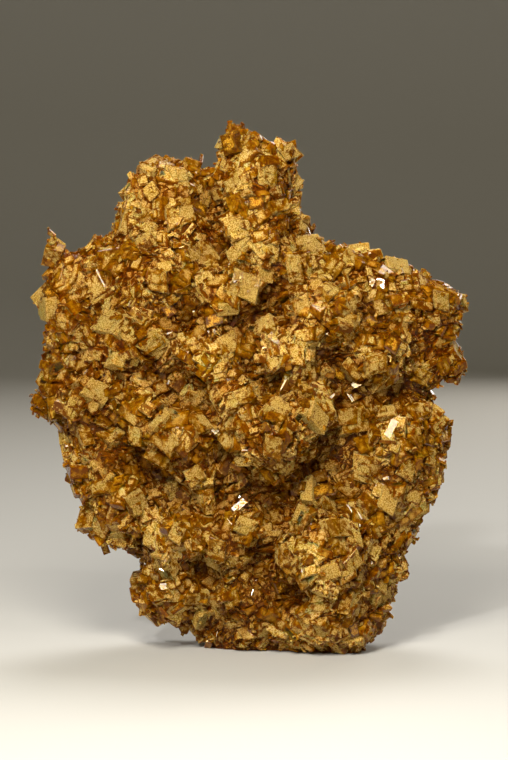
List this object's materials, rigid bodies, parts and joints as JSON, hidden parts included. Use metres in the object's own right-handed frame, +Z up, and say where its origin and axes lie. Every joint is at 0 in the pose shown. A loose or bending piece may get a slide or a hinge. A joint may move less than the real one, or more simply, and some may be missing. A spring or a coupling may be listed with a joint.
{
  "type": "baryte specimen",
  "caption": "Standing crust of golden-brown baryte with a domed front, covered by small tabular crystals, on a flat broken foot.",
  "frame": {"origin": "middle of the specimen's box, on the plane that its flat broken foot stands on", "axes": "+Z up, +X to the right as seen from the crystal front, -Y out of the crystal front"},
  "size_m": [0.0988, 0.0474, 0.1155],
  "materials": {
    "baryte": "small tabular crystals with matt tan faces and glossy amber edges"
  },
  "bodies": {
    "root": {"baryte_cluster": "baryte"}
  },
  "joints": []
}
